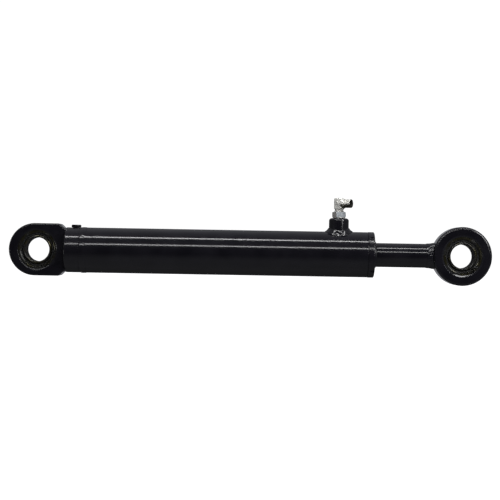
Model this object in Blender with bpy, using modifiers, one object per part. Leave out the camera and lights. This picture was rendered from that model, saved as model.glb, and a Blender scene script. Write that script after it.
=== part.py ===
"""Double-acting welded hydraulic cylinder with a spherical bearing in each eye.

Units are metres. The origin is the centre of the cap-end bearing, +X runs along the cylinder
to the rod end, +Y is the axis of both pins and +Z is the side of the ports.
The cylinder is drawn fully retracted. Lengths along the cylinder are stations: distances in X
from the cap-end pin.
"""

import math

import bmesh
import bpy
from mathutils import Matrix, Vector

# ---- driving dimensions -------------------------------------------------------------------
GAP = 0.0003                 # clearance drawn between pieces that touch
BORE_R = 0.0254              # 2 in cylinder bore
TUBE_R = 0.03015             # 2 3/8 in tube outside
ROD_R = 0.015875             # 1 1/4 in rod
PIN_R = 0.015875             # 1 1/4 in pins
PIN_DISTANCE = 0.5634        # pin to pin, retracted
EYE_WIDTH = 0.03175          # both eyes, measured along the pins

# ---- spherical bearings, drawn about the pin axis -----------------------------------------
RACE_R = 0.0254
RACE_HALF = 0.0119
BALL_R = 0.0228
BALL_HALF = 0.01388
BALL_EDGE = 0.0012           # chamfer at the ball's bore
SEAL_SEAT_R = 0.0219
SEAL_SEAT_DEPTH = 0.0016
CIRCLIP_INNER_R = 0.0223
CIRCLIP_GROOVE_R = 0.0270
CIRCLIP_GROOVE_NEAR = 0.0122
CIRCLIP_GROOVE_FAR = 0.0143
MOUTH_CHAMFER = 0.0012
MOUTH_R = 0.0277
CIRCLIP_GAP_HALF = math.radians(9)
CIRCLIP_TURN = math.radians(-60)

# ---- cap-end forging ----------------------------------------------------------------------
CAP_EYE_R = 0.0347           # also half the height of the eye block
CAP_NOSE = -0.0028           # centre of the rounded nose, a little behind the pin
CAP_CORNER_START = 0.0292    # the chamfer between the eye block and the neck
CAP_CORNER = 0.0047
NECK_START = 0.0362
NECK_R = 0.0300
NECK_END = 0.0556
SPIGOT_START = 0.0600
SPIGOT_END = 0.0760
SPIGOT_R = BORE_R - GAP
CAP_PORT = 0.0498            # station of the plugged port
CAP_PORT_THREAD_R = 0.00585
CAP_PORT_FACE = 0.0294       # height of its spot face
PASSAGE_R = 0.0040

# ---- barrel tube, gland and gland-end port -------------------------------------------------
TUBE_START = 0.0609
TUBE_CHAMFER = 0.0041
TUBE_END = 0.4377
THREAD_START = 0.4177
THREAD_R = 0.0262
GLAND_NOSE = 0.3862          # the piston stops here at full stroke
GLAND_NOSE_R = 0.0205
COLLAR_START = 0.4380        # the gland's own stations are measured from here
COLLAR_LENGTH = 0.0086
COLLAR_R = 0.0304
COLLAR_ROUND = 0.0014
SPANNER_SLOTS = 4
SLOT_INNER = 0.0030          # the slots run from here out through the collar's end face
PORT = 0.3996                # station of the gland-end port
BOSS_R = 0.0132
BOSS_TOP = 0.0481
BOSS_ROUND = 0.0035
BOSS_THREAD_R = 0.0068
BOSS_WELD_LEG = 0.0053
BOSS_WELD_RISE = 0.0044

# ---- elbow fitting --------------------------------------------------------------------------
ELBOW_TURN = math.radians(-28)     # the hose end points along +X, turned towards -Y
ELBOW_AXIS_HEIGHT = 0.0677
ELBOW_REACH = 0.0179
ELBOW_HALF = 0.0057
NUT_BOTTOM = 0.0494
NUT_TOP = 0.0565
NUT_FLATS = 0.0159           # 5/8 in
NUT_TURN = math.radians(34)        # a flat faces -Y, turned a little towards +X

# ---- rod, piston and rod eye ------------------------------------------------------------------
ROD_START = 0.0768
NUT_END = 0.0965
PISTON_START = 0.0968
PISTON_END = 0.1315
SPIGOT_ROD_R = 0.0127
PISTON_R = BORE_R - 0.0005
RING_R = BORE_R - 0.00025
ROD_EYE_R = 0.0391
EYE_EDGE = 0.0015
ROD_WELD_START = 0.5165
ROD_WELD_R = 0.0172
NIPPLE_ANGLE = math.radians(78)    # grease nipple of the rod eye, from +X towards +Z

FINE, COARSE, SMALL = 32, 24, 14   # facets round large, middling and small turned pieces
EYE_STEPS = 48

# colour, metallic and roughness of each finish
FINISHES = {
    "black_paint": ((0.006, 0.006, 0.008), 0.0, 0.18),
    "zinc_plate": ((0.62, 0.63, 0.62), 1.0, 0.28),
    "chrome": ((0.75, 0.76, 0.78), 1.0, 0.08),
    "ground_steel": ((0.42, 0.42, 0.43), 1.0, 0.30),
    "bearing_steel": ((0.10, 0.10, 0.105), 0.9, 0.35),
    "cast_iron": ((0.20, 0.20, 0.21), 0.8, 0.55),
    "nitrile": ((0.012, 0.012, 0.012), 0.0, 0.60),
    "polyurethane": ((0.05, 0.13, 0.30), 0.0, 0.45),
    "glass_filled_nylon": ((0.03, 0.10, 0.06), 0.0, 0.55),
    "bronze_ptfe": ((0.30, 0.19, 0.10), 0.2, 0.50),
}

AXIS_TURNS = {"X": (0, math.pi / 2, 0), "Y": (-math.pi / 2, 0, 0), "Z": (0, 0, 0)}


# ---- scene helpers ----------------------------------------------------------------------------
def clear_scene():
    for old in list(bpy.data.objects):
        bpy.data.objects.remove(old)


def collection(name, hidden=False):
    made = bpy.data.collections.new(name)
    made.hide_render = hidden
    bpy.context.scene.collection.children.link(made)
    return made


def link(name, mesh, finish=None):
    """A new object, in the cylinder's collection if it has a finish and with the cutters if not."""
    made = bpy.data.objects.new(name, mesh)
    if finish:
        CYLINDER.objects.link(made)
        mesh.materials.append(material(name, finish))
    else:
        CUTTERS.objects.link(made)
        made.hide_render = True
        made.display_type = "WIRE"
    return made


def material(name, finish):
    colour, metallic, roughness = FINISHES[finish]
    made = bpy.data.materials.new(f"{name}_{finish}")
    made.use_nodes = True
    shader = made.node_tree.nodes["Principled BSDF"]
    shader.inputs["Base Color"].default_value = (*colour, 1.0)
    shader.inputs["Metallic"].default_value = metallic
    shader.inputs["Roughness"].default_value = roughness
    made.diffuse_color = (*colour, 1.0)
    return made


def empty(name, at=(0, 0, 0)):
    made = bpy.data.objects.new(name, None)
    made.location = at
    made.empty_display_size = 0.02
    CYLINDER.objects.link(made)
    return made


def attach(carrier, *objects):
    """Parents the objects to an empty and keeps them where they are."""
    for obj in objects:
        obj.location -= carrier.location
        obj.parent = carrier


def area_of(profile):
    """Signed area of a closed outline, positive when it runs anticlockwise."""
    pairs = zip(profile, profile[1:] + profile[:1])
    return sum(a[0] * b[1] - b[0] * a[1] for a, b in pairs) / 2


def turned(name, profile, axis="X", at=(0, 0, 0), finish=None, steps=COARSE):
    """A turned piece. The profile lists (distance along the axis, radius) round the section."""
    points = [(radius, along) for along, radius in profile]
    if area_of(points) > 0:
        points.reverse()
    solid = any(radius < 1e-9 for radius, _ in points)
    if solid:
        top = max((i for i, p in enumerate(points) if p[0] < 1e-9), key=lambda i: points[i][1])
        points = points[top:] + points[:top]
    mesh = bpy.data.meshes.new(name)
    count = len(points)
    edges = [(i, (i + 1) % count) for i in range(count - (1 if solid else 0))]
    mesh.from_pydata([(radius, 0, along) for radius, along in points], edges, [])
    made = link(name, mesh, finish)
    made.location = at
    made.rotation_euler = AXIS_TURNS[axis]
    screw = made.modifiers.new("turn", "SCREW")
    screw.axis = "Z"
    screw.steps = screw.render_steps = steps
    screw.use_merge_vertices = True
    screw.merge_threshold = 0.00001
    screw.use_smooth_shade = True
    return made


def rod_shape(name, radius, start, end, axis, at=(0, 0, 0), finish=None, steps=COARSE):
    """A plain cylinder from start to end along an axis through a point."""
    profile = [(start, 0), (start, radius), (end, radius), (end, 0)]
    return turned(name, profile, axis, at, finish, steps)


def ring_shape(name, inner, outer, start, end, axis="X", at=(0, 0, 0), finish=None, steps=COARSE):
    """A plain ring of rectangular section."""
    profile = [(start, inner), (start, outer), (end, outer), (end, inner)]
    return turned(name, profile, axis, at, finish, steps)


def o_ring(name, major, section_r, axis, at, finish="nitrile", steps=COARSE, sides=6):
    """A round-section ring."""
    angles = [2 * math.pi * i / sides for i in range(sides)]
    profile = [(section_r * math.sin(a), major + section_r * math.cos(a)) for a in angles]
    return turned(name, profile, axis, at, finish, steps)


def box_shape(name, size, at, finish=None, turn=(0, 0, 0)):
    mesh = bpy.data.meshes.new(name)
    shape = bmesh.new()
    bmesh.ops.create_cube(shape, size=1.0)
    bmesh.ops.scale(shape, vec=Vector(size), verts=shape.verts)
    shape.to_mesh(mesh)
    shape.free()
    made = link(name, mesh, finish)
    made.location = at
    made.rotation_euler = turn
    return made


def prism(name, flats, start, end, axis, at, finish=None, turn=0):
    """A hexagonal prism, given its size across the flats and its turn about its own axis."""
    mesh = bpy.data.meshes.new(name)
    shape = bmesh.new()
    corner = flats / 2 / math.cos(math.pi / 6)
    place = Matrix.Translation((0, 0, (start + end) / 2)) @ Matrix.Rotation(turn, 4, "Z")
    bmesh.ops.create_cone(shape, cap_ends=True, segments=6, radius1=corner, radius2=corner,
                          depth=end - start, matrix=place)
    shape.to_mesh(mesh)
    shape.free()
    made = link(name, mesh, finish)
    made.location = at
    made.rotation_euler = AXIS_TURNS[axis]
    return made


def combine(obj, other, operation):
    step = obj.modifiers.new(f"{operation.lower()}_{other.name}", "BOOLEAN")
    step.operation = operation
    step.solver = "EXACT"
    step.object = other


def cut(obj, *cutters):
    for cutter in cutters:
        combine(obj, cutter, "DIFFERENCE")


def join(obj, *others):
    for other in others:
        combine(obj, other, "UNION")


def arc(centre, radius, start, end, count):
    """Points on an arc, as (along, radius) pairs."""
    angles = [start + (end - start) * i / count for i in range(count + 1)]
    return [(centre[0] + radius * math.cos(a), centre[1] + radius * math.sin(a)) for a in angles]


# ---- shared shapes ----------------------------------------------------------------------------
def bearing_bore(name, at):
    """Cutter for a bearing seat: bore, two circlip grooves and a chamfer at each mouth."""
    seat = RACE_R + GAP
    half = EYE_WIDTH / 2
    side = [
        (half + 0.001, 0),
        (half + 0.001, MOUTH_R + (MOUTH_R - seat) * 0.001 / MOUTH_CHAMFER),
        (half - MOUTH_CHAMFER, seat),
        (CIRCLIP_GROOVE_FAR, seat),
        (CIRCLIP_GROOVE_FAR, CIRCLIP_GROOVE_R),
        (CIRCLIP_GROOVE_NEAR, CIRCLIP_GROOVE_R),
        (CIRCLIP_GROOVE_NEAR, seat),
    ]
    other = [(-along, radius) for along, radius in reversed(side)]
    return turned(name, side + other, "Y", at)


def bearing_race(name, at):
    """Outer ring with a spherical seat and a recess for a lip seal at each side."""
    seat = BALL_R + GAP
    inside = RACE_HALF - SEAL_SEAT_DEPTH
    reach = math.asin(inside / seat)
    sphere = [(seat * math.sin(a), seat * math.cos(a))
              for a in (reach * (1 - i / 2) for i in range(5))]
    profile = [
        (-RACE_HALF, SEAL_SEAT_R), (-RACE_HALF, RACE_R), (RACE_HALF, RACE_R),
        (RACE_HALF, SEAL_SEAT_R), (inside, SEAL_SEAT_R), *sphere, (-inside, SEAL_SEAT_R),
    ]
    return turned(name, profile, "Y", at, "bearing_steel")


def bearing_ball(name, at):
    """Inner ring: a sphere cut flat at both ends, with the pin's bore through it."""
    reach = math.asin(BALL_HALF / BALL_R)
    sphere = [(BALL_R * math.sin(a), BALL_R * math.cos(a))
              for a in (reach * (i / 3 - 1) for i in range(7))]
    profile = [
        *sphere,
        (BALL_HALF, PIN_R + BALL_EDGE), (BALL_HALF - BALL_EDGE, PIN_R),
        (BALL_EDGE - BALL_HALF, PIN_R), (-BALL_HALF, PIN_R + BALL_EDGE),
    ]
    return turned(name, profile, "Y", at, "bearing_steel")


def bearing_seal(name, at, side):
    """Lip seal between the race and the ball, on one side of the bearing."""
    near, far = RACE_HALF - SEAL_SEAT_DEPTH + GAP, RACE_HALF - 0.0002
    lip = [(far, math.sqrt(BALL_R**2 - far**2) + GAP), (near, math.sqrt(BALL_R**2 - near**2) + GAP)]
    profile = [(near, SEAL_SEAT_R - GAP), (far, SEAL_SEAT_R - GAP), *lip]
    return turned(name, [(side * along, radius) for along, radius in profile], "Y", at, "nitrile")


def circlip(name, at, side):
    """Internal retaining ring with two drilled lugs at its opening."""
    outer, inner = CIRCLIP_GROOVE_R - GAP, CIRCLIP_INNER_R
    lug = CIRCLIP_GAP_HALF + math.radians(11)
    lug_inner = inner - 0.0022
    steps = 22
    sweep = [CIRCLIP_GAP_HALF + (2 * math.pi - 2 * CIRCLIP_GAP_HALF) * i / steps
             for i in range(steps + 1)]
    back = [lug + (2 * math.pi - 2 * lug) * i / steps for i in range(steps, -1, -1)]
    outline = [(outer * math.cos(a), outer * math.sin(a)) for a in sweep]
    outline += [(lug_inner * math.cos(a), lug_inner * math.sin(a))
                for a in (-CIRCLIP_GAP_HALF, -(CIRCLIP_GAP_HALF + lug) / 2, -lug)]
    outline += [(inner * math.cos(a), inner * math.sin(a)) for a in back]
    outline += [(lug_inner * math.cos(a), lug_inner * math.sin(a))
                for a in (lug, (CIRCLIP_GAP_HALF + lug) / 2, CIRCLIP_GAP_HALF)]
    curve = bpy.data.curves.new(name, "CURVE")
    curve.dimensions = "2D"
    curve.fill_mode = "BOTH"
    curve.extrude = (CIRCLIP_GROOVE_FAR - CIRCLIP_GROOVE_NEAR) / 2 - GAP / 2
    add_outline(curve, outline)
    hole_at = (lug_inner + outer) / 2 - 0.0007
    for turn in (-1, 1):
        a = turn * (CIRCLIP_GAP_HALF + lug) / 2
        centre = (hole_at * math.cos(a), hole_at * math.sin(a))
        add_outline(curve, arc(centre, 0.0011, 0, 2 * math.pi * 5 / 6, 5))
    made = link(name, curve, "bearing_steel")
    middle = side * (CIRCLIP_GROOVE_FAR + CIRCLIP_GROOVE_NEAR) / 2
    made.location = (at[0], middle, at[2])
    made.rotation_euler = (math.pi / 2, 0, 0)
    made.rotation_euler.rotate_axis("Z", CIRCLIP_TURN)
    return made


def add_outline(curve, points):
    spline = curve.splines.new("POLY")
    spline.points.add(len(points) - 1)
    for slot, (x, y) in zip(spline.points, points):
        slot.co = (x, y, 0, 1)
    spline.use_cyclic_u = True


def grease_nipple(name, at, eye_r, angle):
    """Flush grease nipple, drawn along +Z and turned to its place on the rim of an eye."""
    profile = [
        (eye_r - 0.0062, 0), (eye_r - 0.0062, 0.0017), (eye_r - 0.0050, 0.0028),
        (eye_r + 0.0002, 0.0028), (eye_r + 0.0004, 0.0024), (eye_r + 0.0004, 0.0010),
        (eye_r - 0.0002, 0.0006), (eye_r - 0.0002, 0),
    ]
    made = turned(name, profile, "Z", at, "zinc_plate", SMALL)
    made.rotation_euler = (0, math.pi / 2 - angle, 0)
    return made


def grease_hole(name, at, eye_r, angle):
    """Cutter for a nipple's seat and the drilling from it to the bearing."""
    profile = [
        (RACE_R - 0.001, 0), (RACE_R - 0.001, 0.0015), (eye_r - 0.0068, 0.0015),
        (eye_r - 0.0065, 0.0031), (eye_r + 0.004, 0.0031), (eye_r + 0.004, 0),
    ]
    made = turned(name, profile, "Z", at, steps=SMALL)
    made.rotation_euler = (0, math.pi / 2 - angle, 0)
    return made


def hex_nut(name, flats, bore, start, end, axis, at, finish, turn=0):
    """Hexagonal nut with its corners turned off at both ends."""
    corner = flats / 2 / math.cos(math.pi / 6)
    trim = 0.35 * (corner - flats / 2)
    nut = prism(name, flats, start, end, axis, at, finish, turn)
    envelope = [
        (start - 0.001, 0), (start - 0.001, flats / 2 - 0.001), (start + trim, corner + 0.0001),
        (end - trim, corner + 0.0001), (end + 0.001, flats / 2 - 0.001), (end + 0.001, 0),
    ]
    combine(nut, turned(f"{name}_corners", envelope, axis, at), "INTERSECT")
    cut(nut, rod_shape(f"{name}_bore", bore, start - 0.002, end + 0.002, axis, at))
    return nut


def split_ring(name, inner, outer, start, end, finish, turn, station=0):
    """Guide ring cut through at one place so that it can be sprung into its groove."""
    ring = ring_shape(name, inner, outer, start, end, at=(station, 0, 0), finish=finish)
    radius = (inner + outer) / 2
    place = (station + (start + end) / 2, radius * math.sin(turn), radius * math.cos(turn))
    saw = box_shape(f"{name}_saw", (0.03, 0.0015, 0.008), place, turn=(-turn, 0, 0))
    cut(ring, saw)
    return ring


# ---- cap end ----------------------------------------------------------------------------------
def eye_block(name):
    """Flat eye with a round end, square to the pin, running into the neck."""
    half = CAP_EYE_R
    round_end = arc((CAP_NOSE, 0), CAP_EYE_R, math.pi / 2, math.pi * 3 / 2, 20)
    shoulder = [
        (CAP_CORNER_START, half), (CAP_CORNER_START + CAP_CORNER, half - CAP_CORNER),
        (NECK_START + 0.001, NECK_R - 0.0016), (NECK_START + 0.005, NECK_R - 0.005),
    ]
    outline = [*reversed(shoulder), *round_end, *[(x, -z) for x, z in shoulder]]
    mesh = bpy.data.meshes.new(name)
    shape = bmesh.new()
    corners = [shape.verts.new((x, -EYE_WIDTH / 2, z)) for x, z in outline]
    face = shape.faces.new(corners)
    side = bmesh.ops.extrude_face_region(shape, geom=[face])["geom"]
    moved = [v for v in side if isinstance(v, bmesh.types.BMVert)]
    bmesh.ops.translate(shape, verts=moved, vec=(0, EYE_WIDTH, 0))
    bmesh.ops.recalc_face_normals(shape, faces=shape.faces)
    shape.to_mesh(mesh)
    shape.free()
    return mesh


def make_cap_eye():
    """Forged cap: neck and spigot turned about X, joined to the eye block, then drilled."""
    neck = turned("cap_eye", [
        (NECK_START, 0), (NECK_START, NECK_R - 0.0015), (NECK_START + 0.0015, NECK_R),
        (NECK_END, NECK_R), (SPIGOT_START, BORE_R), (SPIGOT_START, SPIGOT_R),
        (SPIGOT_END - 0.0015, SPIGOT_R), (SPIGOT_END, SPIGOT_R - 0.0015), (SPIGOT_END, 0),
    ], finish="black_paint", steps=FINE)
    join(neck, link("cap_eye_block", eye_block("cap_eye_block")))
    port = turned("cap_port_drilling", [
        (-PASSAGE_R, 0), (-PASSAGE_R, PASSAGE_R), (0.014, PASSAGE_R), (0.0155, CAP_PORT_THREAD_R),
        (0.0274, CAP_PORT_THREAD_R), (CAP_PORT_FACE, 0.0074), (CAP_PORT_FACE, 0.0082),
        (0.032, 0.0082), (0.032, 0),
    ], "Z", (CAP_PORT, 0, 0), steps=16)
    passage = rod_shape("cap_passage", PASSAGE_R - 0.0002, CAP_PORT + 0.001, SPIGOT_END + 0.002, "X",
                        steps=SMALL)
    cut(neck, bearing_bore("cap_bearing_bore", (0, 0, 0)), port, passage)
    cut(neck, grease_hole("cap_grease_hole", (0, 0, 0), CAP_EYE_R - CAP_NOSE, math.pi))
    return neck


def make_cap_weld():
    """Weld ring that fills the groove between the neck and the tube."""
    return turned("cap_weld", [
        (0.0561, 0.02995), (0.0575, 0.0304), (0.0602, 0.0307), (0.0630, 0.0306),
        (0.0648, 0.0303), (0.0602, 0.0265),
    ], finish="black_paint", steps=FINE)


def make_cap_port_plug():
    """Hollow-hexagon plug with a round head."""
    head = CAP_PORT_FACE + GAP
    plug = turned("cap_port_plug", [
        (0.0190, 0), (0.0190, 0.0045), (0.0198, 0.0055), (0.0267, 0.0055), (0.0271, 0.0048),
        (head, 0.0048), (head, 0.0064), (0.0330, 0.0064), (0.0336, 0.0058), (0.0336, 0),
    ], "Z", (CAP_PORT, 0, 0), "black_paint", 16)
    cut(plug, prism("plug_socket", 0.0056, 0.0285, 0.0350, "Z", (CAP_PORT, 0, 0)))
    seal = o_ring("cap_port_o_ring", 0.00585, 0.0006, "Z", (CAP_PORT, 0, 0.0287), steps=16)
    return [plug, seal]


def make_bearing(end, at):
    """Race, two lip seals, two circlips: what stays in an eye. The ball is separate."""
    sides = {"front": -1, "rear": 1}
    pieces = [bearing_race(f"{end}_bearing_race", at)]
    for word, side in sides.items():
        pieces.append(bearing_seal(f"{end}_bearing_seal_{word}", at, side))
        pieces.append(circlip(f"{end}_circlip_{word}", at, side))
    return pieces


# ---- barrel, gland and port ---------------------------------------------------------------------
def make_barrel_tube():
    tube = turned("barrel_tube", [
        (TUBE_START, BORE_R), (TUBE_START, 0.0266), (TUBE_START + TUBE_CHAMFER, TUBE_R),
        (TUBE_END - 0.0008, TUBE_R), (TUBE_END, TUBE_R - 0.0008), (TUBE_END, THREAD_R),
        (THREAD_START, THREAD_R), (THREAD_START - 0.0008, BORE_R),
    ], finish="black_paint", steps=FINE)
    cut(tube, rod_shape("tube_port_hole", 0.0050, 0.020, 0.034, "Z", (PORT, 0, 0), steps=16))
    return tube


def make_gland():
    """Threaded head: guides and seals the rod, and stops the piston with its nose."""
    bore = ROD_R + GAP
    nose = GLAND_NOSE - COLLAR_START
    end = COLLAR_LENGTH
    gland = turned("gland", [
        (nose, bore), (nose, GLAND_NOSE_R), (-0.0268, GLAND_NOSE_R), (-0.0268, SPIGOT_R),
        (-0.0256, SPIGOT_R), (-0.0256, 0.0227), (-0.0215, 0.0227), (-0.0215, SPIGOT_R),
        (-0.0198, SPIGOT_R), (-0.0192, THREAD_R - GAP), (0, THREAD_R - GAP),
        (0, COLLAR_R - 0.0005), (0.0005, COLLAR_R),
        *arc((end - COLLAR_ROUND, COLLAR_R - COLLAR_ROUND), COLLAR_ROUND, math.pi / 2, 0, 2),
        (end, 0.0195), (0.0030, 0.0195), (0.0030, bore),
        (-0.0035, bore), (-0.0035, 0.0206), (-0.0110, 0.0206), (-0.0110, bore),
        (-0.0150, bore), (-0.0150, 0.0180), (-0.0250, 0.0180), (-0.0250, bore),
        (-0.0350, bore), (-0.0350, 0.0180), (-0.0450, 0.0180), (-0.0450, bore),
    ], at=(COLLAR_START, 0, 0), finish="black_paint")
    for i in range(SPANNER_SLOTS):
        turn = 2 * math.pi * (i + 0.5) / SPANNER_SLOTS
        radius = COLLAR_R + 0.0005
        length = end + 0.001 - SLOT_INNER
        middle = COLLAR_START + SLOT_INNER + length / 2
        place = (middle, radius * math.sin(turn), radius * math.cos(turn))
        cut(gland, box_shape(f"spanner_slot_{i}", (length, 0.0050, 0.0045), place, turn=(-turn, 0, 0)))
    return gland


def make_gland_rings():
    """Static seal outside the gland; wiper, rod seal and guide rings inside it."""
    near = ROD_R + GAP
    at = (COLLAR_START, 0, 0)
    wiper = turned("rod_wiper", [
        (0.0033, near + 0.0006), (0.0033, 0.0192), (0.0080, 0.0192), (0.0080, 0.0186),
        (0.0094, 0.0178), (0.0114, 0.0170), (0.0114, near), (0.0090, near), (0.0078, near + 0.0006),
    ], at=at, finish="nitrile")
    cup = turned("rod_seal", [
        (-0.0107, near), (-0.0107, 0.0171), (-0.0078, 0.0180), (-0.0078, 0.0185), (-0.0107, 0.0193),
        (-0.0107, 0.0203), (-0.0038, 0.0203), (-0.0038, near),
    ], at=at, finish="polyurethane")
    nylon = "glass_filled_nylon"
    guides = [
        split_ring("rod_guide_ring_inner", near, 0.0177, -0.0447, -0.0353, nylon, 0.9, COLLAR_START),
        split_ring("rod_guide_ring_outer", near, 0.0177, -0.0247, -0.0153, nylon, 2.6, COLLAR_START),
    ]
    static = o_ring("gland_o_ring", 0.02410, 0.00105, "X", (COLLAR_START - 0.0241, 0, 0))
    backup = ring_shape("gland_backup_ring", 0.0230, 0.02515, -0.0227, -0.0218, at=at,
                        finish="bronze_ptfe")
    return [wiper, cup, *guides, static, backup]


def make_port_boss():
    """Weld-on boss with an O-ring port, its foot cut to the tube's curve."""
    corner = arc((BOSS_TOP - BOSS_ROUND, BOSS_R - BOSS_ROUND), BOSS_ROUND, math.pi / 2, 0, 2)
    boss = turned("port_boss", [
        (0.020, 0.0050), (0.020, BOSS_R), *corner, (BOSS_TOP, 0.0078),
        (BOSS_TOP - 0.0024, BOSS_THREAD_R), (0.0340, BOSS_THREAD_R), (0.0340, 0.0050),
    ], "Z", (PORT, 0, 0), "black_paint")
    foot = rod_shape("boss_foot", TUBE_R + GAP, PORT - 0.03, PORT + 0.03, "X", steps=FINE)
    cut(boss, foot)
    return boss


def saddle(radius, angle, over):
    """Height above the barrel's axis of a point of the tube's surface, offset by over."""
    return math.sqrt((TUBE_R + over) ** 2 - (radius * math.sin(angle)) ** 2)


def make_port_boss_weld():
    """Fillet weld round the foot of the boss: a loft of one section along a saddle curve."""
    inner = BOSS_R + GAP
    middle, outer = inner + BOSS_WELD_LEG / 2, inner + BOSS_WELD_LEG
    over = GAP * 1.15
    count = 26
    mesh = bpy.data.meshes.new("port_boss_weld")
    shape = bmesh.new()
    rings = []
    for i in range(count):
        a = 2 * math.pi * i / count
        section = [
            (inner, saddle(inner, a, over)),
            (inner, saddle(inner, a, over) + BOSS_WELD_RISE),
            (inner + 0.0012, saddle(inner + 0.0012, a, over) + BOSS_WELD_RISE - 0.0006),
            (outer - 0.0012, saddle(outer - 0.0012, a, over) + 0.0017),
            (outer, saddle(outer, a, over)),
            (middle, saddle(middle, a, over)),
        ]
        rings.append([shape.verts.new((r * math.cos(a), r * math.sin(a), z)) for r, z in section])
    for ring, following in zip(rings, rings[1:] + rings[:1]):
        for j in range(len(ring)):
            k = (j + 1) % len(ring)
            shape.faces.new((ring[j], ring[k], following[k], following[j]))
    bmesh.ops.recalc_face_normals(shape, faces=shape.faces)
    shape.to_mesh(mesh)
    shape.free()
    made = link("port_boss_weld", mesh, "black_paint")
    made.location = (PORT, 0, 0)
    return made


# ---- elbow fitting --------------------------------------------------------------------------------
def make_elbow():
    """Adjustable elbow: O-ring stud below, forged body, coned tube end to the side."""
    at = (PORT, 0, 0)
    thread = BOSS_THREAD_R - GAP - 0.0001
    relief = thread - 0.0008
    body_foot = NUT_TOP + 0.0030
    body_top = ELBOW_AXIS_HEIGHT + 0.0074
    stud = turned("elbow_body", [
        (0.0358, 0), (0.0358, relief), (0.0366, thread), (0.0448, thread), (0.0455, relief),
        (0.0492, relief), (0.0496, thread), (0.0578, thread), (0.0583, relief),
        (body_foot + 0.002, relief), (body_foot + 0.002, 0),
    ], "Z", at, "zinc_plate", 16)
    middle = (body_foot + body_top) / 2
    block = box_shape("elbow_block", (2 * ELBOW_HALF, 2 * ELBOW_HALF, body_top - body_foot),
                      (PORT, 0, middle), turn=(0, 0, ELBOW_TURN))
    rounding = block.modifiers.new("round", "BEVEL")
    rounding.width = 0.0020
    rounding.segments = 2
    along = turned("elbow_leg", [
        (0, 0), (0, 0.0056), (0.0074, 0.0056), (0.0078, 0.0049), (0.0090, 0.0049),
        (0.0096, 0.0058), (ELBOW_REACH - 0.0004, 0.0058), (ELBOW_REACH, 0.0055), (ELBOW_REACH, 0),
    ], "X", (PORT, 0, ELBOW_AXIS_HEIGHT), steps=16)
    along.rotation_euler.rotate_axis("X", -ELBOW_TURN)
    bore = turned("elbow_mouth", [
        (-0.002, 0), (-0.002, 0.0020), (0.0075, 0.0020), (0.0075, 0.0038), (0.0118, 0.0038),
        (ELBOW_REACH + 0.001, 0.0055), (ELBOW_REACH + 0.001, 0),
    ], "X", (PORT, 0, ELBOW_AXIS_HEIGHT), steps=16)
    bore.rotation_euler.rotate_axis("X", -ELBOW_TURN)
    rise = rod_shape("elbow_rise", 0.0035, 0.030, ELBOW_AXIS_HEIGHT + 0.001, "Z", at, steps=10)
    join(stud, block, along)
    cut(stud, bore, rise)
    nut = hex_nut("elbow_lock_nut", NUT_FLATS, BOSS_THREAD_R, NUT_BOTTOM, NUT_TOP, "Z", at,
                  "zinc_plate", NUT_TURN)
    washer = ring_shape("elbow_washer", BOSS_THREAD_R, 0.0085, BOSS_TOP + GAP, NUT_BOTTOM - GAP, "Z",
                        at, "zinc_plate")
    seal = o_ring("elbow_o_ring", 0.0065, 0.0005, "Z", (PORT, 0, 0.0470))
    return [stud, nut, washer, seal]


# ---- rod and piston ---------------------------------------------------------------------------------
def eye_cope(name):
    """Cutter that shapes the rod's end to the eye's round outside."""
    return rod_shape(name, ROD_EYE_R + GAP, -0.03, 0.03, "Y", (PIN_DISTANCE, 0, 0), steps=EYE_STEPS)


def make_rod():
    """Rod with a stepped end for the piston; its other end is cut to the eye's curve."""
    rod = turned("piston_rod", [
        (ROD_START, 0), (ROD_START, SPIGOT_ROD_R - 0.0012), (ROD_START + 0.0012, SPIGOT_ROD_R),
        (PISTON_END, SPIGOT_ROD_R), (PISTON_END, ROD_R - 0.0008), (PISTON_END + 0.0008, ROD_R),
        (PIN_DISTANCE - 0.030, ROD_R), (PIN_DISTANCE - 0.030, 0),
    ], finish="chrome")
    cut(rod, eye_cope("rod_end_cope"))
    return rod


def make_rod_eye():
    half = EYE_WIDTH / 2
    at = (PIN_DISTANCE, 0, 0)
    eye = turned("rod_eye", [
        (-half, 0), (-half, ROD_EYE_R - EYE_EDGE), (EYE_EDGE - half, ROD_EYE_R),
        (half - EYE_EDGE, ROD_EYE_R), (half, ROD_EYE_R - EYE_EDGE), (half, 0),
    ], "Y", at, "black_paint", EYE_STEPS)
    cut(eye, bearing_bore("rod_bearing_bore", at))
    cut(eye, grease_hole("rod_grease_hole", at, ROD_EYE_R, NIPPLE_ANGLE))
    return eye


def make_rod_eye_weld():
    weld = turned("rod_eye_weld", [
        (ROD_WELD_START, ROD_R + GAP), (ROD_WELD_START, ROD_R + GAP + 0.0002),
        (ROD_WELD_START + 0.0045, 0.0166), (ROD_WELD_START + 0.0080, ROD_WELD_R),
        (PIN_DISTANCE - 0.031, ROD_WELD_R + 0.0005), (PIN_DISTANCE - 0.031, ROD_R + GAP),
    ], finish="black_paint")
    cut(weld, eye_cope("rod_weld_cope"))
    return weld


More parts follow.
